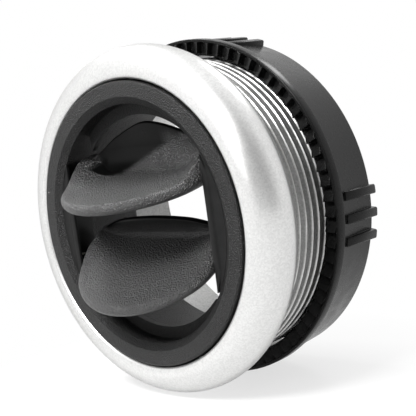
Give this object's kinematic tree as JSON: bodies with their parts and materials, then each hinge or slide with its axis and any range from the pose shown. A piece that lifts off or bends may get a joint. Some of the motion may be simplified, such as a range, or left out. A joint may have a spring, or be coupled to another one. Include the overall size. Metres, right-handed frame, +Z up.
{
  "type": "swivel air vent",
  "caption": "Round panel air vent: silver bezel with threaded sleeve, ring nut, and a turning inner ring that carries two tilting D-shaped blades.",
  "frame": {"origin": "on the vent's axis, in the plane where the bezel's rim seats on the panel", "axes": "+Y along the vent's axis from the face to the duct, so the vent blows towards -Y; +X along the blades' pivots; +Z up"},
  "size_m": [0.074, 0.0482, 0.074],
  "materials": {
    "silver_paint": "satin silver paint on a plastic moulding",
    "nut_plastic": "semi-gloss black moulding",
    "ring_plastic": "fine spark-eroded grain",
    "cheek_plastic": "smooth satin black",
    "blade_plastic": "fine grain on the faces, smooth at the rear web",
    "bush_plastic": "natural acetal",
    "friction_rubber": "plain",
    "retainer_plastic": "plain"
  },
  "bodies": {
    "bezel": {"bezel": "silver_paint"},
    "nut": {"clamp_nut": "nut_plastic"},
    "swivel": {"swivel_ring": "ring_plastic", "left_cheek": "cheek_plastic", "right_cheek": "cheek_plastic", "upper_left_bush": "bush_plastic", "upper_right_bush": "bush_plastic", "lower_left_bush": "bush_plastic", "lower_right_bush": "bush_plastic", "friction_ring": "friction_rubber", "retaining_ring": "retainer_plastic"},
    "upper_blade": {"upper_blade": "blade_plastic"},
    "lower_blade": {"lower_blade": "blade_plastic"}
  },
  "joints": [
    {"name": "swivel_turn", "type": "hinge", "parent": "bezel", "child": "swivel", "pos_m": [0, 0, 0], "axis": [0, 1, 0], "continuous": true},
    {"name": "upper_blade_tilt", "type": "hinge", "parent": "swivel", "child": "upper_blade", "pos_m": [0, -0.0074, 0.0088], "axis": [1, 0, 0], "range_deg": [-101, 9]},
    {"name": "lower_blade_tilt", "type": "hinge", "parent": "swivel", "child": "lower_blade", "pos_m": [0, -0.0074, -0.008], "axis": [1, 0, 0], "range_deg": [-60, 51]},
    {"name": "nut_travel", "type": "slide", "parent": "bezel", "child": "nut", "axis": [0, 1, 0], "range_m": [-0.0085, 0.003]}
  ]
}
